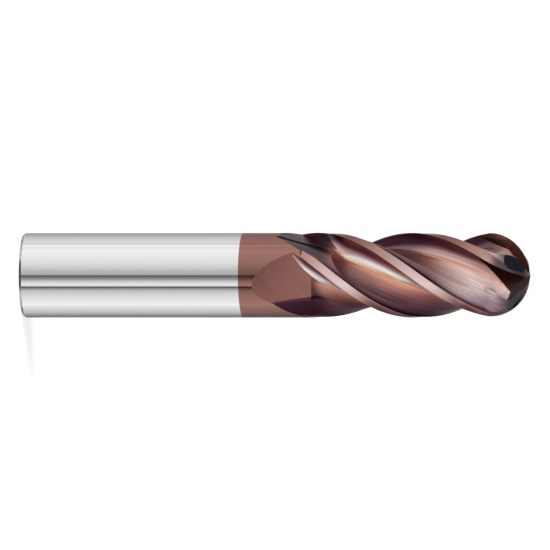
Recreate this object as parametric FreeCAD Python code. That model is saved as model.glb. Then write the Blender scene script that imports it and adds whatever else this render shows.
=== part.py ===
import FreeCAD, Part
import math
import os
from FreeCAD import Vector

# A ball nose end mill of solid carbide, standing on its shank with the cutting ball at the top.
# The tool axis is Z. Height 0 is the flat end of the shank. Angles about Z grow in the direction
# in which the right-hand helix of the teeth winds on its way up to the ball.

# Whole tool, in millimetres
overall_length = 76.2
shank_diameter = 12.7
shank_length = 34.3
neck_length = 0.7
cutting_diameter = 12.69
chamfer_length = 0.40
chamfer_width = 0.30

# Teeth: each has its helix angle and its place round the ball's equator, in degrees
helix_angles = (33.4, 35.7, 38.4, 35.2)
tooth_places = (-22.0, 74.0, 171.0, 261.0)

# Flute, seen square to the axis: rake face, gullet, straight back up to the heel of the next tooth
rake_angle = 10.0
gullet_radius = 2.2
core_diameter = 7.5
heel_radius = 5.5
flute_widths = (63.0, 61.0, 71.0, 58.0)

# Land behind each cutting edge, a little lower at its back than at its front
land_angle = 14.0
land_start = 42.3
land_front_drop = 0.02
land_back_drop = 0.10

# Relief ground behind the land, an arc about a point off the axis that fades out below its start
relief_offset = 3.35
relief_lead_angle = 11.7
relief_span_angle = 52.0
relief_start = 44.3
relief_fade_angle = 63.0
relief_fade_slope = 0.30

# Ends of each flute: it rises out of the work at its start and grows shallower near the tip
flute_starts = (40.7, 44.3, 40.7, 44.3)
lead_in_length = 5.3
lead_in_radius = 5.75
nose_length = 10.2
nose_radius = 27.0

# Outlines that the flute's surface is drawn through, in its lead-in, body and nose
lead_in_outlines = 7
body_outlines = 9
nose_outlines = 8

# Grinding wheel, whose rim and side leave their print where the flute starts
wheel_radius = 40.0
wheel_swivel = 29.1
wheel_height = 12.0
wheel_depth_radius = 3.4
wheel_lag_angle = 72.7
wheel_side_angle = 13.0
wheel_side_height = 3.3
wheel_side_clearance = 0.12

# Gashes that sharpen the ball, as planes set in each tooth's own directions
gash_face_slope = 0.6
gash_floor_normal = (0.725, -0.264, 0.636)
gash_floor_height = 5.85
facet_normal = (0.66, -0.046, 0.748)
facet_depth = 0.36
facet_land = 0.35

# How far the cutters reach past the body
overshoot = 2.0

shank_radius = shank_diameter / 2
cutting_radius = cutting_diameter / 2
core_radius = core_diameter / 2
ball_height = overall_length - cutting_radius
reach = 6 * cutting_radius


def turned(vector, angle):
    """The vector turned about Z by an angle in degrees."""
    a = math.radians(angle)
    x = vector.x * math.cos(a) - vector.y * math.sin(a)
    y = vector.x * math.sin(a) + vector.y * math.cos(a)
    return Vector(x, y, vector.z)


def polar(radius, angle, height=0.0):
    return turned(Vector(radius, 0, height), angle)


def lead_of(helix_angle):
    """Height of one full turn of a helix on the cutting diameter."""
    return 2 * math.pi * cutting_radius / math.tan(math.radians(helix_angle))


def edge_angle(tooth, height):
    """Where the cutting edge of a tooth stands round the axis at a height."""
    turns = (height - ball_height) / lead_of(helix_angles[tooth])
    return tooth_places[tooth] + 360 * turns


def gap_ahead(tooth, height):
    """Angle from the cutting edge of a tooth to that of the tooth in front of it."""
    ahead = (tooth + 1) % len(tooth_places)
    return (edge_angle(ahead, height) - edge_angle(tooth, height)) % 360


def spaced(first, last, count):
    step = (last - first) / (count - 1)
    return [first + step * k for k in range(count)]


def line(start, end):
    return Part.makeLine(start, end)


def wire_at(edges, height):
    outline = Part.Wire(edges)
    outline.translate(Vector(0, 0, height))
    return outline


def side_of(point, normal):
    """A large block that fills the side of a plane to which the normal points."""
    return Part.makeCylinder(reach, reach, point, normal)


def blank():
    """The ground rod: chamfered shank, cutting length and ball, turned about the axis."""
    corner = shank_radius - chamfer_width
    points = [
        Vector(0, 0, 0),
        Vector(corner, 0, 0),
        Vector(shank_radius, 0, chamfer_length),
        Vector(shank_radius, 0, shank_length),
        Vector(cutting_radius, 0, shank_length + neck_length),
        Vector(cutting_radius, 0, ball_height),
    ]
    edges = [line(a, b) for a, b in zip(points, points[1:])]
    shoulder = cutting_radius * math.sqrt(0.5)
    ball = Part.Arc(points[-1], Vector(shoulder, 0, ball_height + shoulder), Vector(0, 0, overall_length))
    edges.append(ball.toShape())
    edges.append(line(Vector(0, 0, overall_length), points[0]))
    return Part.Face(Part.Wire(edges)).revolve(Vector(0, 0, 0), Vector(0, 0, 1), 360)


def flute_lift(tooth, height):
    """How far the flute's outline has slid out along its rake face, at both ends of the flute."""
    lead_in = max(0.0, flute_starts[tooth] + lead_in_length - height)
    nose = max(0.0, height - (overall_length - nose_length))
    return lead_in ** 2 / (2 * lead_in_radius) + nose ** 2 / (2 * nose_radius)


def flute_outline(tooth, height):
    """Outline of a flute's empty space at a height, its cutting edge on the X axis."""
    heel_angle = flute_widths[tooth]
    rake = math.radians(rake_angle)
    inward = Vector(-math.cos(rake), -math.sin(rake), 0)
    across = Vector(-math.sin(rake), math.cos(rake), 0)
    edge = Vector(cutting_radius, 0, 0)
    offset = edge + across * gullet_radius
    along = offset.dot(inward)
    room = along ** 2 - offset.dot(offset) + (core_radius + gullet_radius) ** 2
    depth = -along - math.sqrt(room)
    centre = offset + inward * depth
    rake_foot = edge + inward * depth
    heel = polar(heel_radius, heel_angle)
    to_heel = heel - centre
    bearing = math.degrees(math.atan2(to_heel.y, to_heel.x))
    opening = math.degrees(math.acos(gullet_radius / to_heel.Length))
    back_foot = centre + polar(gullet_radius, bearing + opening)
    lowest = centre + polar(gullet_radius, (rake_angle + bearing + opening - 90 - 360) / 2)
    back = (heel - back_foot).normalize()
    mouth = edge - inward * overshoot
    far_heel = heel + back * overshoot
    far = polar(cutting_radius + 2 * overshoot, heel_angle / 2)
    outline = Part.Wire([
        line(mouth, rake_foot),
        Part.Arc(rake_foot, lowest, back_foot).toShape(),
        line(back_foot, far_heel),
        line(far_heel, far),
        line(far, mouth),
    ])
    outline.translate(inward * -flute_lift(tooth, height) + Vector(0, 0, height))
    return outline


def relief_centre():
    """Centre of the relief curve in the tooth's own directions, at the height of the ball centre."""
    return polar(relief_offset, 90 - relief_lead_angle)


def relief_radius():
    return math.hypot(cutting_radius, relief_offset)


def relief_point(angle):
    """Point of the eccentric relief curve at an angle in front of the cutting edge."""
    centre = relief_centre()
    ray = polar(1, angle)
    along = centre.dot(ray)
    aside = math.sqrt(centre.dot(centre) - along ** 2)
    return ray * (along + math.sqrt(relief_radius() ** 2 - aside ** 2))


def land_line():
    """Ends of the line that a land's flat makes across its section, the first in front of the edge."""
    edge = polar(cutting_radius - land_front_drop, 0)
    land_back = polar(cutting_radius - land_back_drop, -land_angle)
    return edge + (edge - land_back) / 2, land_back


def land_outline():
    """Edges round the space over the flat of a land."""
    in_front, land_back = land_line()
    outer_back = polar(cutting_radius + overshoot, -land_angle)
    outer_front = polar(cutting_radius + overshoot, land_angle / 2)
    corners = [in_front, land_back, outer_back, outer_front]
    return [line(a, b) for a, b in zip(corners, corners[1:] + corners[:1])]


def relief_outline():
    """Edges round the space over one land's flat and behind it, out past the cutting diameter."""
    outside = cutting_radius + 2 * overshoot
    in_front, land_back = land_line()
    first = relief_point(-land_angle)
    middle = relief_point(-(land_angle + relief_span_angle) / 2)
    last = relief_point(-relief_span_angle)
    outer_last = polar(outside, -relief_span_angle)
    outer_first = polar(outside, land_angle / 2)
    return [
        line(in_front, land_back),
        line(land_back, first),
        Part.Arc(first, middle, last).toShape(),
        line(last, outer_last),
        line(outer_last, outer_first),
        line(outer_first, in_front),
    ]


def twisted(edges, tooth, bottom, top):
    """A solid whose outline climbs the helix of a tooth from one height to another."""
    outline = wire_at(edges, bottom)
    spine = Part.Wire(line(Vector(0, 0, bottom), Vector(0, 0, top)))
    guide = Part.makeHelix(lead_of(helix_angles[tooth]), top - bottom, 1.0)
    guide.translate(Vector(0, 0, bottom))
    sweep = Part.BRepOffsetAPI.MakePipeShell(spine)
    sweep.setAuxiliarySpine(Part.Wire(guide.Edges), True, 0)
    sweep.add(outline)
    sweep.build()
    sweep.makeSolid()
    solid = sweep.shape()
    solid.rotate(Vector(0, 0, 0), Vector(0, 0, 1), edge_angle(tooth, bottom))
    return solid


def flute(tooth):
    """The helical flute as a loft through its outlines, close together where it rises."""
    body_start = flute_starts[tooth] + lead_in_length
    body_end = overall_length - nose_length
    heights = spaced(flute_starts[tooth], body_start, lead_in_outlines)[:-1]
    heights += spaced(body_start, body_end, body_outlines)[:-1]
    heights += spaced(body_end, overall_length + overshoot, nose_outlines)
    outlines = []
    for height in heights:
        outline = flute_outline(tooth, height)
        outline.rotate(Vector(0, 0, 0), Vector(0, 0, 1), edge_angle(tooth, height))
        outlines.append(outline)
    return Part.makeLoft(outlines, True, False)


def run_out(tooth):
    """The print of the grinding wheel's rim and side where the flute fades into the shank."""
    start = flute_starts[tooth]
    bearing = edge_angle(tooth, start) + gap_ahead(tooth, start) - wheel_lag_angle
    swivel = math.radians(wheel_swivel)
    radial = polar(1, bearing)
    around = polar(1, bearing + 90)
    axis = Vector(0, 0, 1) * math.sin(swivel) - around * math.cos(swivel)
    centre = radial * (wheel_depth_radius + wheel_radius) + Vector(0, 0, start + wheel_height)
    wheel = Part.makeCylinder(wheel_radius, 2 * reach, centre - axis * reach, axis)
    height = start + wheel_side_height
    place = edge_angle(tooth, height)
    helix = math.radians(helix_angles[tooth])
    normal = polar(1, place + 90) * math.cos(helix) - Vector(0, 0, 1) * math.sin(helix)
    normal = (normal + polar(math.tan(math.radians(wheel_side_angle)), place)).normalize()
    side = side_of(polar(cutting_radius, place, height) + normal * wheel_side_clearance, normal)
    return wheel.common(side)


def wedge_outline():
    """Edges round the whole sector behind one land, from near the axis to the outside."""
    outside = cutting_radius + 2 * overshoot
    corners = [
        polar(gullet_radius, -land_angle),
        polar(outside, -land_angle),
        polar(outside, -relief_span_angle),
        polar(gullet_radius, -relief_span_angle),
    ]
    return [line(a, b) for a, b in zip(corners, corners[1:] + corners[:1])]


def relief(tooth):
    """The clearance behind a land: helical on the body, then an eccentric ball."""
    land = twisted(land_outline(), tooth, land_start, relief_start)
    body = twisted(relief_outline(), tooth, relief_start, ball_height)
    sector = twisted(wedge_outline(), tooth, ball_height, overall_length + overshoot)
    centre = turned(relief_centre(), tooth_places[tooth]) + Vector(0, 0, ball_height)
    return [land, body, sector.cut(Part.makeSphere(relief_radius(), centre))]


def relief_run_out(tooth):
    """The relief's fading start: its section slides down and out along a slanting line."""
    bearing = edge_angle(tooth, relief_start)
    face = Part.Face(wire_at(relief_outline(), relief_start))
    face.rotate(Vector(0, 0, 0), Vector(0, 0, 1), bearing)
    down = Vector(0, 0, -1) + polar(relief_fade_slope, bearing - relief_fade_angle)
    return face.extrude(down * (relief_start - shank_length))


def gash(tooth):
    """The notch that makes a tooth's flat face on the ball and clears the middle."""
    place = tooth_places[tooth]
    tip = Vector(0, 0, overall_length)
    face = side_of(tip, turned(Vector(-gash_face_slope, 1, -gash_face_slope), place))
    floor_point = Vector(0, 0, ball_height + gash_floor_height)
    return face.common(side_of(floor_point, turned(Vector(*gash_floor_normal), place)))


def facet(tooth):
    """The flat clearance behind the narrow land on the ball."""
    place = tooth_places[tooth]
    normal = turned(Vector(*facet_normal), place).normalize()
    foot = Vector(0, 0, ball_height) + normal * (cutting_radius - facet_depth)
    face = turned(Vector(gash_face_slope, -1, gash_face_slope), place).normalize()
    land_side = side_of(Vector(0, 0, overall_length) + face * facet_land, face)
    return side_of(foot, normal).common(land_side)


def end_mill():
    tool = blank()
    for tooth in range(len(helix_angles)):
        cutters = [flute(tooth), run_out(tooth)]
        cutters += relief(tooth)
        cutters += [relief_run_out(tooth), gash(tooth), facet(tooth)]
        for cutter in cutters:
            tool = tool.cut(cutter)
    return tool


os.makedirs("parts", exist_ok=True)
tool = end_mill()
print("solids", len(tool.Solids), "valid", tool.isValid(), "volume", round(tool.Volume, 1))
tool.Solids[0].exportStep("parts/end_mill.step")
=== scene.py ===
import bpy
import math
from mathutils import Matrix, Vector

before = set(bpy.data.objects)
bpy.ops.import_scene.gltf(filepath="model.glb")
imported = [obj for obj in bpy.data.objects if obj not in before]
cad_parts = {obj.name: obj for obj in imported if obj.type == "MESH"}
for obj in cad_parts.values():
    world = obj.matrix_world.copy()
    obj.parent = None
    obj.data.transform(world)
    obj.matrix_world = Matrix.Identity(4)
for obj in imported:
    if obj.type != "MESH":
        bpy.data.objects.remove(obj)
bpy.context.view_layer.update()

MM = 0.001
WHITE = (1.0, 1.0, 1.0, 1.0)
BLACK = (0.0, 0.0, 0.0, 1.0)


def grey(value):
    return (value, value, value, 1.0)


# The camera stands a little towards the cutting end and is turned so that the tool lies across
# the picture, with the shank on the left.
CAMERA_LEAN = math.radians(7.5)
CAMERA_HEIGHT = 37.82 * MM
CAMERA_SHIFT = 0.03 * MM
CAMERA_DISTANCE = 0.5
CAMERA_REACH = 10
VIEW_WIDTH = 82.09 * MM

# What the metal mirrors: soft panels and dark flags that stand round the tool, as pairs of degrees
# round the axis from the camera's side and brightness.
PANELS = (
    (-180, 0.60), (-150, 0.42), (-140, 0.42), (-125, 0.60), (-101, 0.77), (-93, 0.70), (-88, 1.00),
    (-85, 1.00), (-82, 0.82), (-71, 0.98), (-52, 0.90), (-35, 0.82), (-20, 0.66), (-7, 0.46),
    (-2, 0.21), (1, 0.11), (5, 0.09), (9, 0.20), (14, 0.50), (20, 0.75), (28, 0.92), (31, 0.30),
    (33.5, 0.03), (36, 0.28), (45, 0.62), (60, 0.78), (91, 0.98), (95, 0.83), (117, 0.62),
    (140, 0.30), (155, 0.18), (180, 0.60),
)
# A second ring of panels, without flags, which the metal mirrors above and below the first
UPPER_PANELS = (
    (-180, 0.35), (-125, 0.45), (-95, 0.60), (-60, 0.66), (-30, 0.85), (-5, 0.97), (30, 0.97),
    (50, 0.84), (70, 0.45), (95, 0.22), (140, 0.25), (180, 0.35),
)
# The panels' strength and tint by the sine of the angle above the level
LEVELS = (
    (-1.0, grey(0.10)), (-0.955, grey(0.12)), (-0.90, grey(0.66)), (-0.75, grey(0.52)),
    (-0.60, (0.58, 0.53, 0.56, 1)), (-0.50, (0.92, 0.88, 0.90, 1)), (-0.42, WHITE), (0.26, WHITE),
    (0.37, (0.86, 0.83, 0.86, 1)), (0.52, (0.42, 0.40, 0.44, 1)), (0.66, (0.18, 0.18, 0.21, 1)),
    (1.0, (0.16, 0.16, 0.19, 1)),
)
# Where one part of the studio fades into the next, on a scale from 0 straight down to 1 straight
# up: from the first ring to the second at its top and its foot, and to the even tone of the table
RING_SPLIT = (0.505, 0.53)
RING_FOOT = (0.405, 0.375)
TABLE_START = (0.22, 0.15)
TABLE_BRIGHTNESS = 0.85

# The teeth as in the part's source: height of the ball's centre, each tooth's lead and place
# round the ball, and where the lands and their relief start, in millimetres and degrees
BALL_CENTRE = 69.855
LEADS = (60.46, 55.48, 50.30, 56.51)
PLACES = (-22, 74, 171, 261)
LAND_START = 42.3
RELIEF_START = 44.3
# Where the coating starts on the plain rod
COATING_START = 33.05

# Limits of the ground surface and the lands: distance from the axis or the ball's centre, degrees
# behind the edge, and how far each fades in along the tool
ROD_REACH = (6.338, 6.325)
LAND_REACH = (6.17, 6.22)
LAND_BACK = (14.6, 14.2)
RAKE_BACK = (12.5, 12.0)
BODY_FADE = 0.15
LAND_FADE = 0.1

STEEL = (0.90, 0.90, 0.90, 1.0)
BRONZE = (0.365, 0.178, 0.148, 1.0)

# Colours across one flute, from a cutting edge to the next, partly painted light and shade: a
# painted dark line of shade at each edge, and paler bands where the flute gathers light
FLUTE_COLOURS_AND_LIGHT = (
    (0.0, (0.16, 0.065, 0.095, 1)), (0.015, (0.30, 0.16, 0.17, 1)), (0.05, (0.74, 0.44, 0.42, 1)),
    (0.12, (0.84, 0.54, 0.48, 1)), (0.20, (0.76, 0.44, 0.35, 1)), (0.27, (0.95, 0.46, 0.33, 1)),
    (0.42, (0.70, 0.32, 0.23, 1)), (0.52, (0.52, 0.25, 0.21, 1)), (0.62, (0.48, 0.25, 0.24, 1)),
    (0.72, (0.42, 0.21, 0.22, 1)), (0.79, (0.22, 0.11, 0.12, 1)), (0.815, (0.02, 0.01, 0.02, 1)),
)
# Colours of the lands over half a turn round the tool, which partly stand for light
LAND_COLOURS = (
    (0.0, (0.76, 0.56, 0.54, 1)), (0.08, (0.80, 0.63, 0.62, 1)), (0.16, (0.64, 0.42, 0.38, 1)),
    (0.26, (0.42, 0.17, 0.18, 1)), (0.40, (0.32, 0.10, 0.15, 1)), (0.5, (0.30, 0.12, 0.14, 1)),
    (0.66, (0.34, 0.17, 0.14, 1)), (0.80, (0.64, 0.35, 0.29, 1)), (1.0, (0.76, 0.56, 0.54, 1)),
)
# A painted gleam in the flutes: colours across a flute, its limits in degrees round the tool
# folded over half a turn, and where it ends in height
GLEAM_COLOURS = (
    (0.04, (0, 0, 0, 1)), (0.085, (0.85, 0.86, 0.95, 1)), (0.14, (1.0, 1.0, 0.98, 1)),
    (0.19, (1.0, 0.95, 0.70, 1)), (0.25, (0.95, 0.52, 0.36, 1)), (0.32, (0, 0, 0, 1)),
)
GLEAM_FIRST = (-64, -44)
GLEAM_LAST = (34, 6)
GLEAM_END = (61.5, 58.0)
# A painted shade at two sides of the flutes, in the same folded degrees
SHADE_TINT = (0.36, 0.26, 0.38, 1.0)
SHADE_FIRST = (-60, -86)
SHADE_LAST = (15, 55)
SHADE_STRENGTH = 0.78
# The painted highlight streaks that fan out towards the ball: limits in height and across the
# flute
FAN_HIGHLIGHT_COLOUR = (0.96, 0.76, 0.72, 1.0)
FAN_HEIGHT = (61, 68)
FAN_FIRST = (0.20, 0.34)
FAN_LAST = (0.86, 0.76)
FAN_STRENGTH = 0.85
# The grinding wheel's print below a flute: its upper limit falls with the degrees ahead of the
# edge, as far as a turning point, and grows soft there
RUN_OUT_COLOUR = (0.34, 0.15, 0.125, 1.0)
RUN_OUT_LEVEL = 39.93
RUN_OUT_SLOPE = -0.237
RUN_OUT_TURN = 22.0
RUN_OUT_SOFT = (18, 34)
RUN_OUT_EDGE = 0.15
RUN_OUT_WIDENING = 3.0
# The dark wedge where a flute starts, a painted shade: limits in height, in degrees behind the
# edge and in folded degrees, and where slate turns to plum
WEDGE_SHADE_SLATE = (0.14, 0.105, 0.12, 1.0)
WEDGE_SHADE_PLUM = (0.10, 0.03, 0.06, 1.0)
WEDGE_TOP = (47.5, 44.5)
WEDGE_FRONT = (17, 20)
WEDGE_BACK = (59, 56)
WEDGE_SIDE = (-20, -30)
WEDGE_PLUM = (-10, 20)
# A small dark mark at the start of each land
MARK_COLOUR = (0.10, 0.05, 0.05, 1.0)
MARK_CENTRE = 8.0
MARK_REACH = 4.5
MARK_HEIGHT = 0.1

# The flat faces of the cutting end in a tooth's own frame: normal, and a point in millimetres
FACE_PLANE = ((-0.6, 1.0, -0.6), (0, 0, 76.2))
GASH_PLANE = ((0.725, -0.264, 0.636), (0, 0, 75.705))
FACET_PLANE = ((0.66, -0.046, 0.748), (0, 0, BALL_CENTRE + 5.985 * 0.9988 / 0.748))
PLANE_REACH = 0.02 * MM
PLANE_AGREEMENT = 0.97
# The gash faces' colour, partly painted light, with a painted shadow that darkens them towards the
# shank between the heights in GASH_LIGHT
GASH_FACE = (0.56, 0.39, 0.33, 1.0)
GASH_SHADE = (0.20, 0.145, 0.13, 1.0)
GASH_LIGHT = (69.5, 73.0)
GASH_FLOOR = (0.34, 0.20, 0.17, 1.0)
BACK_FACET = (0.13, 0.135, 0.19, 1.0)

# Grinding marks along the flutes: how many to a flute and a seed, the share of the coarse ones,
# and how the noise is drawn out
COARSE_LINES = (55, 0)
FINE_LINES = (190, 40)
COARSE_SHARE = 0.6
FINE_SHARE = 0.4
LINES_INWARD = 1.5
LINES_UPWARD = 0.06
LINES_CONTRAST = (0.38, 0.62)
LINES_SHADES = (grey(0.74), grey(1.22))
# Grinding marks across the run-outs
HATCH_DENSITY = 5.0
HATCH_UPWARD = 0.1
HATCH_CONTRAST = (0.36, 0.64)
HATCH_SHADES = (grey(0.82), grey(1.15))

# Roughness of the polished rod, and what the flutes and the lands add to it
ROD_ROUGHNESS = 0.06
FLUTE_ROUGHNESS = 0.24
LAND_ROUGHNESS = 0.12
BUMP_STRENGTH = 0.35
BUMP_DISTANCE = 0.02 * MM
# How far the lands' fine grinding turns their sheen towards the cutting end
LAND_TILT = (0.0, 0.0, 0.12)

FLOOR_RADIUS = 1.0
FLOOR_SIDES = 96
FLOOR_GREY = 0.75
FLOOR_GLOW = 0.72
LAMP_POWER = 6.0
LAMP_SIZE = 0.5
LAMP_PLACE = (0.25, -0.35, 0.8)


def put(tree, socket, value):
    """Links a socket to an input, or sets the input to a value."""
    if isinstance(value, bpy.types.NodeSocket):
        tree.links.new(value, socket)
    else:
        socket.default_value = value


def linked(tree, node_type, name, inputs, **settings):
    """A node of a type with its settings, and with values or other sockets put into its inputs."""
    node = tree.nodes.new(node_type)
    for key, value in settings.items():
        setattr(node, key, value)
    for key, value in inputs.items():
        put(tree, node.inputs[key], value)
    return node.outputs[name]


def calc(tree, operation, *values, clamp=False):
    inputs = dict(enumerate(values))
    return linked(tree, "ShaderNodeMath", 0, inputs, operation=operation, use_clamp=clamp)


def times(tree, *values):
    result = values[0]
    for value in values[1:]:
        result = calc(tree, "MULTIPLY", result, value)
    return result


def total(tree, values):
    result = values[0]
    for value in values[1:]:
        result = calc(tree, "ADD", result, value)
    return result


def fade(tree, value, start, end):
    """From 0 where the value is start to 1 where it is end, smoothly."""
    inputs = {0: value, 1: float(start), 2: float(end), 3: 0.0, 4: 1.0}
    return linked(tree, "ShaderNodeMapRange", 0, inputs, interpolation_type="SMOOTHSTEP")


def blend(tree, share, first, second, mode="MIX"):
    """Two colours mixed by a share."""
    node = tree.nodes.new("ShaderNodeMix")
    node.data_type = "RGBA"
    node.blend_type = mode
    put(tree, node.inputs[0], share)
    put(tree, node.inputs[6], first)
    put(tree, node.inputs[7], second)
    return node.outputs[2]


def blend_vectors(tree, share, first, second):
    """Two vectors mixed by a share."""
    node = tree.nodes.new("ShaderNodeMix")
    node.data_type = "VECTOR"
    put(tree, node.inputs[0], share)
    put(tree, node.inputs[4], first)
    put(tree, node.inputs[5], second)
    return node.outputs[1]


def vector(tree, operation, output, *values):
    inputs = dict(enumerate(values))
    return linked(tree, "ShaderNodeVectorMath", output, inputs, operation=operation)


def ramp(tree, value, stops):
    """A colour ramp through pairs of place and colour."""
    out = linked(tree, "ShaderNodeValToRGB", "Color", {"Fac": value})
    elements = out.node.color_ramp.elements
    while len(elements) < len(stops):
        elements.new(0.5)
    for element, (place, colour) in zip(elements, stops):
        element.position = place
        element.color = colour
    return out


def noise(tree, place, detail, roughness):
    inputs = {"Vector": place, "Scale": 1.0, "Detail": detail, "Roughness": roughness}
    return linked(tree, "ShaderNodeTexNoise", "Fac", inputs)


def finish_tree(tree, output_type, shader):
    output = tree.nodes.new(output_type)
    tree.links.new(shader, output.inputs["Surface"])


def ring(tree, place, panels):
    """The brightness of one ring of panels, where place is 0 to 1 round the axis."""
    return ramp(tree, place, [((angle + 180) / 360, grey(level)) for angle, level in panels])


def studio_colour(tree):
    """The panels, flags and table that the metal mirrors."""
    direction = linked(tree, "ShaderNodeTexCoord", "Generated", {})
    parts = linked(tree, "ShaderNodeSeparateXYZ", "X", {0: direction}).node
    around = calc(tree, "ARCTAN2", parts.outputs["Y"], parts.outputs["X"])
    place = calc(tree, "MULTIPLY_ADD", around, 0.5 / math.pi, 0.5)
    height = calc(tree, "MULTIPLY_ADD", parts.outputs["Z"], 0.5, 0.5)
    beyond = calc(tree, "MAXIMUM", fade(tree, height, *RING_SPLIT), fade(tree, height, *RING_FOOT))
    panels = blend(tree, beyond, ring(tree, place, PANELS), ring(tree, place, UPPER_PANELS))
    table = fade(tree, height, *TABLE_START)
    panels = blend(tree, table, panels, grey(TABLE_BRIGHTNESS))
    levels = ramp(tree, height, [((sine + 1) / 2, colour) for sine, colour in LEVELS])
    return blend(tree, 1.0, panels, levels, "MULTIPLY")


def surroundings():
    """The world: white where the camera looks, the studio where the metal does."""
    world = bpy.data.worlds.new("studio")
    bpy.context.scene.world = world
    world.use_nodes = True
    tree = world.node_tree
    tree.nodes.clear()
    colour = studio_colour(tree)
    studio = linked(tree, "ShaderNodeBackground", 0, {"Color": colour, "Strength": 1.0})
    white = linked(tree, "ShaderNodeBackground", 0, {"Color": WHITE, "Strength": 1.0})
    rays = linked(tree, "ShaderNodeLightPath", "Is Camera Ray", {})
    seen = calc(tree, "MAXIMUM", rays, rays.node.outputs["Is Transmission Ray"])
    mixed = linked(tree, "ShaderNodeMixShader", 0, {0: seen, 1: studio, 2: white})
    finish_tree(tree, "ShaderNodeOutputWorld", mixed)


def camera():
    data = bpy.data.cameras.new("camera")
    data.type = "ORTHO"
    data.ortho_scale = VIEW_WIDTH
    data.clip_end = CAMERA_REACH
    back = Vector((math.cos(CAMERA_LEAN), 0, math.sin(CAMERA_LEAN)))
    up = Vector((0, -1, 0))
    right = up.cross(back)
    place = Vector((0, 0, CAMERA_HEIGHT)) + back * CAMERA_DISTANCE + up * CAMERA_SHIFT
    eye = bpy.data.objects.new("camera", data)
    rows = [(right[k], up[k], back[k], place[k]) for k in range(3)]
    eye.matrix_world = Matrix(rows + [(0, 0, 0, 1)])
    bpy.context.scene.collection.objects.link(eye)
    bpy.context.scene.camera = eye


def new_tree(name):
    material = bpy.data.materials.new(name)
    material.use_nodes = True
    material.node_tree.nodes.clear()
    return material, material.node_tree


def tooth_places(tree, angle, height):
    """Where a point lies between two cutting edges: degrees ahead of the one behind it, degrees
    behind the one ahead of it, and the tooth's number plus the share of the gap between them."""
    ahead_parts = []
    behind_parts = []
    share_parts = []
    above = calc(tree, "SUBTRACT", height, BALL_CENTRE)
    for index, (place, lead) in enumerate(zip(PLACES, LEADS)):
        following = (index + 1) % len(PLACES)
        gap_slope = 360 / LEADS[following] - 360 / lead
        gap_here = (PLACES[following] - place) % 360
        gap = calc(tree, "MULTIPLY_ADD", above, gap_slope, gap_here)
        edge = calc(tree, "MULTIPLY_ADD", above, 360 / lead, place)
        ahead = calc(tree, "FLOORED_MODULO", calc(tree, "SUBTRACT", angle, edge), 360.0)
        inside = calc(tree, "LESS_THAN", ahead, gap)
        ahead_parts.append(times(tree, inside, ahead))
        behind_parts.append(times(tree, inside, calc(tree, "SUBTRACT", gap, ahead)))
        share = calc(tree, "ADD", calc(tree, "DIVIDE", ahead, gap), float(index))
        share_parts.append(times(tree, inside, share))
    return total(tree, ahead_parts), total(tree, behind_parts), total(tree, share_parts)


class Spot:
    """Where a point of the tool lies, as sockets in millimetres and degrees."""

    def __init__(self, tree):
        self.point = linked(tree, "ShaderNodeTexCoord", "Object", {})
        metres = linked(tree, "ShaderNodeSeparateXYZ", "X", {0: self.point}).node
        x, y, height = (calc(tree, "MULTIPLY", metres.outputs[axis], 1 / MM) for axis in "XYZ")
        self.height = height
        self.angle = calc(tree, "MULTIPLY", calc(tree, "ARCTAN2", y, x), 180 / math.pi)
        above = calc(tree, "MAXIMUM", calc(tree, "SUBTRACT", height, BALL_CENTRE), 0.0)
        square = total(tree, [times(tree, value, value) for value in (x, y, above)])
        # Distance from the axis, and on the ball from its centre
        self.reach = calc(tree, "SQRT", square)
        self.ahead, self.behind, self.share = tooth_places(tree, self.angle, height)
        # The same, but straight along the tool below the height where the relief starts
        held_height = calc(tree, "MAXIMUM", height, RELIEF_START)
        self.steady_behind = tooth_places(tree, self.angle, held_height)[1]
        # The angle folded over half a turn: 0 faces the photo's camera, or away from it
        folded = calc(tree, "FLOORED_MODULO", calc(tree, "ADD", self.angle, 90.0), 180.0)
        self.front = calc(tree, "SUBTRACT", folded, 90.0)


def surface_parts(tree, spot):
    """Shares of the coated, the fluted and the land's surface at a point."""
    coated = calc(tree, "GREATER_THAN", spot.height, COATING_START)
    high = fade(tree, spot.height, LAND_START, LAND_START + BODY_FADE)
    body = calc(tree, "MAXIMUM", high, times(tree, coated, fade(tree, spot.reach, *ROD_REACH)))
    land = times(tree, fade(tree, spot.reach, *LAND_REACH), fade(tree, spot.behind, *LAND_BACK),
                 fade(tree, spot.height, LAND_START, LAND_START + LAND_FADE))
    flute = times(tree, body, calc(tree, "SUBTRACT", 1.0, land))
    return coated, flute, land


def flute_turn(tree, spot):
    """Place across a flute, from 0 at a cutting edge to 1 at the next."""
    # The rake face leans back under its edge, but belongs to the flute in front of it
    inside = fade(tree, spot.reach, *LAND_REACH[::-1])
    rake = times(tree, fade(tree, spot.behind, *RAKE_BACK), inside)
    return times(tree, calc(tree, "FRACT", spot.share), calc(tree, "SUBTRACT", 1.0, rake))


def lines_along(tree, spot, count, seed):
    """Grinding marks that follow the flutes: noise drawn out along the helix."""
    place = linked(tree, "ShaderNodeCombineXYZ", 0, {
        0: calc(tree, "MULTIPLY", spot.share, float(count)),
        1: calc(tree, "MULTIPLY_ADD", spot.reach, LINES_INWARD, float(seed)),
        2: calc(tree, "MULTIPLY", spot.height, LINES_UPWARD),
    })
    return noise(tree, place, 3.0, 0.6)


def flute_lines(tree, spot):
    coarse = times(tree, lines_along(tree, spot, *COARSE_LINES), COARSE_SHARE)
    fine = times(tree, lines_along(tree, spot, *FINE_LINES), FINE_SHARE)
    return calc(tree, "ADD", coarse, fine)


def hatching(tree, spot):
    """Shade of the grinding marks across the run-outs."""
    slant = calc(tree, "MULTIPLY_ADD", spot.ahead, RUN_OUT_SLOPE, spot.height)
    place = linked(tree, "ShaderNodeCombineXYZ", 0, {
        0: times(tree, slant, HATCH_DENSITY),
        1: times(tree, spot.height, HATCH_UPWARD),
    })
    marks = noise(tree, place, 2.0, 0.5)
    return blend(tree, fade(tree, marks, *HATCH_CONTRAST), *HATCH_SHADES)


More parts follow.
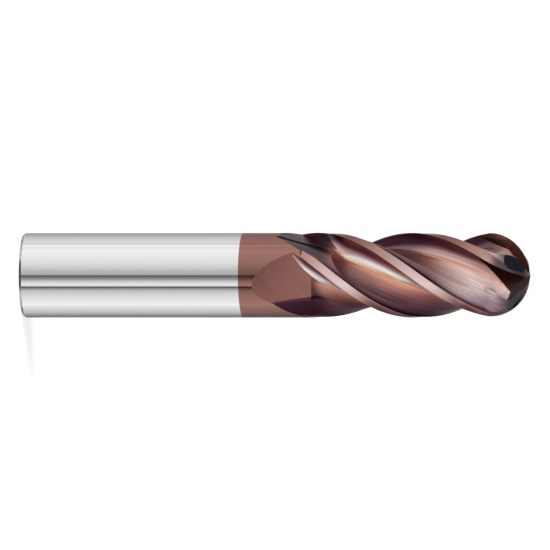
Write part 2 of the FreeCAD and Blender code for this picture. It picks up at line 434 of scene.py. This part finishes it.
def with_gleam(tree, spot, turn, colour):
    """Adds the flutes' painted gleam to a colour."""
    share = times(tree, fade(tree, spot.front, *GLEAM_FIRST), fade(tree, spot.front, *GLEAM_LAST),
                  fade(tree, spot.height, *GLEAM_END))
    gleam = blend(tree, share, BLACK, ramp(tree, turn, GLEAM_COLOURS))
    return blend(tree, 1.0, colour, gleam, "LIGHTEN")


def with_fan_highlight(tree, spot, turn, colour):
    """Adds the painted highlight streaks near the ball to a colour."""
    share = times(tree, fade(tree, spot.height, *FAN_HEIGHT), fade(tree, turn, *FAN_FIRST),
                  fade(tree, turn, *FAN_LAST), FAN_STRENGTH)
    return blend(tree, share, colour, FAN_HIGHLIGHT_COLOUR)


def with_shade(tree, spot, colour):
    """Darkens a colour at two sides of the flutes."""
    share = calc(tree, "MAXIMUM", fade(tree, spot.front, *SHADE_LAST),
                 fade(tree, spot.front, *SHADE_FIRST))
    shaded = blend(tree, 1.0, colour, SHADE_TINT, "MULTIPLY")
    return blend(tree, times(tree, share, SHADE_STRENGTH), colour, shaded)


def with_shaded_wedge(tree, spot, colour):
    """Puts the painted shade of the dark wedge where a flute starts over a colour."""
    side = calc(tree, "MAXIMUM", fade(tree, spot.steady_behind, *WEDGE_BACK),
                fade(tree, spot.front, *WEDGE_SIDE))
    share = times(tree, fade(tree, spot.height, *WEDGE_TOP),
                  fade(tree, spot.steady_behind, *WEDGE_FRONT), side)
    wedge = blend(tree, fade(tree, spot.front, *WEDGE_PLUM), WEDGE_SHADE_SLATE, WEDGE_SHADE_PLUM)
    return blend(tree, share, colour, wedge)


def run_out_share(tree, spot):
    """Where a point is in the grinding wheel's print below a flute."""
    ahead = calc(tree, "MINIMUM", spot.ahead, RUN_OUT_TURN)
    near = calc(tree, "MULTIPLY_ADD", ahead, RUN_OUT_SLOPE, spot.height)
    soft = fade(tree, spot.ahead, *RUN_OUT_SOFT)
    width = calc(tree, "MULTIPLY_ADD", soft, RUN_OUT_WIDENING, RUN_OUT_EDGE)
    share = calc(tree, "DIVIDE", calc(tree, "SUBTRACT", RUN_OUT_LEVEL, near), width)
    return calc(tree, "ADD", share, 0.5, clamp=True)


def on_planes(tree, point, normal, foot):
    """Where the point lies on a plane of the cutting end, repeated for each tooth."""
    parts = []
    normal_here = linked(tree, "ShaderNodeNewGeometry", "Normal", {})
    for place in PLACES:
        turned = Matrix.Rotation(math.radians(place), 3, "Z") @ Vector(normal).normalized()
        away = turned.dot(Vector(foot) * MM)
        along = vector(tree, "DOT_PRODUCT", "Value", point, tuple(turned))
        facing = vector(tree, "DOT_PRODUCT", "Value", normal_here, tuple(turned))
        flat = calc(tree, "GREATER_THAN", calc(tree, "ABSOLUTE", facing), PLANE_AGREEMENT)
        parts.append(times(tree, calc(tree, "COMPARE", along, away, PLANE_REACH), flat))
    return calc(tree, "MINIMUM", total(tree, parts), 1.0)


def with_flat_faces(tree, spot, colour):
    """Puts the flat faces of the cutting end over a colour, the gash faces with a painted shadow
    towards the shank.
    """
    face = blend(tree, fade(tree, spot.height, *GASH_LIGHT), GASH_SHADE, GASH_FACE)
    tints = ((FACE_PLANE, face), (GASH_PLANE, GASH_FLOOR), (FACET_PLANE, BACK_FACET))
    for (normal, foot), tint in tints:
        colour = blend(tree, on_planes(tree, spot.point, normal, foot), colour, tint)
    return colour


def flute_colour(tree, spot, lines):
    """Colour of the whole ground body apart from the lands, with its painted highlights and
    painted shade.
    """
    turn = flute_turn(tree, spot)
    run_out = run_out_share(tree, spot)
    colour = ramp(tree, turn, FLUTE_COLOURS_AND_LIGHT)
    colour = with_gleam(tree, spot, turn, colour)
    colour = with_fan_highlight(tree, spot, turn, colour)
    colour = with_shade(tree, spot, colour)
    colour = blend(tree, run_out, colour, RUN_OUT_COLOUR)
    colour = with_shaded_wedge(tree, spot, colour)
    streaked = blend(tree, fade(tree, lines, *LINES_CONTRAST), *LINES_SHADES)
    marks = blend(tree, run_out, streaked, hatching(tree, spot))
    return with_flat_faces(tree, spot, blend(tree, 1.0, colour, marks, "MULTIPLY"))


def with_lands(tree, spot, land, colour):
    """Puts the lands and the mark at the start of each over a colour."""
    mark = times(tree, calc(tree, "COMPARE", spot.height, LAND_START + LAND_FADE, MARK_HEIGHT),
                 calc(tree, "COMPARE", spot.behind, MARK_CENTRE, MARK_REACH))
    half = calc(tree, "FRACT", calc(tree, "MULTIPLY_ADD", spot.angle, 1 / 180, 2.0))
    colour = blend(tree, land, colour, ramp(tree, half, LAND_COLOURS))
    return blend(tree, mark, colour, MARK_COLOUR)


def surface_normal(tree, flute, land, lines):
    """The normal with the flutes' grinding marks in relief and the lands' sheen turned."""
    bump = linked(tree, "ShaderNodeBump", 0, {
        "Strength": BUMP_STRENGTH, "Distance": BUMP_DISTANCE, "Height": times(tree, lines, flute),
    })
    raised = vector(tree, "NORMALIZE", 0, vector(tree, "ADD", 0, bump, LAND_TILT))
    return blend_vectors(tree, land, bump, raised)


def tool_material():
    material, tree = new_tree("ground_carbide")
    spot = Spot(tree)
    coated, flute, land = surface_parts(tree, spot)
    lines = flute_lines(tree, spot)
    colour = blend(tree, coated, STEEL, BRONZE)
    colour = blend(tree, flute, colour, flute_colour(tree, spot, lines))
    colour = with_lands(tree, spot, land, colour)
    rough = total(tree, [ROD_ROUGHNESS, times(tree, flute, FLUTE_ROUGHNESS),
                         times(tree, land, LAND_ROUGHNESS)])
    shader = linked(tree, "ShaderNodeBsdfPrincipled", 0, {
        "Metallic": 1.0, "Base Color": colour, "Roughness": rough,
        "Normal": surface_normal(tree, flute, land, lines),
    })
    finish_tree(tree, "ShaderNodeOutputMaterial", shader)
    return material


def floor():
    """A pale round table top under the shank's end."""
    bpy.ops.mesh.primitive_circle_add(vertices=FLOOR_SIDES, radius=FLOOR_RADIUS,
                                      fill_type="NGON", location=(0, 0, 0))
    top = bpy.context.object
    top.name = "floor"
    material, tree = new_tree("pale_floor")
    matt = linked(tree, "ShaderNodeBsdfDiffuse", 0, {"Color": grey(FLOOR_GREY)})
    glow = linked(tree, "ShaderNodeEmission", 0, {"Color": WHITE, "Strength": FLOOR_GLOW})
    both = linked(tree, "ShaderNodeAddShader", 0, {0: matt, 1: glow})
    finish_tree(tree, "ShaderNodeOutputMaterial", both)
    top.data.materials.append(material)
    top.visible_glossy = False
    top.visible_diffuse = False


def lamp():
    data = bpy.data.lights.new("softbox", "AREA")
    data.shape = "DISK"
    data.size = LAMP_SIZE
    data.energy = LAMP_POWER
    light = bpy.data.objects.new("softbox", data)
    light.location = LAMP_PLACE
    light.rotation_euler = Vector(LAMP_PLACE).to_track_quat("Z", "Y").to_euler()
    light.visible_glossy = False
    bpy.context.scene.collection.objects.link(light)


bpy.context.scene.view_settings.view_transform = "Standard"
surroundings()
camera()
floor()
lamp()
tool = tool_material()
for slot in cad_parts["end_mill"].material_slots:
    slot.material = tool
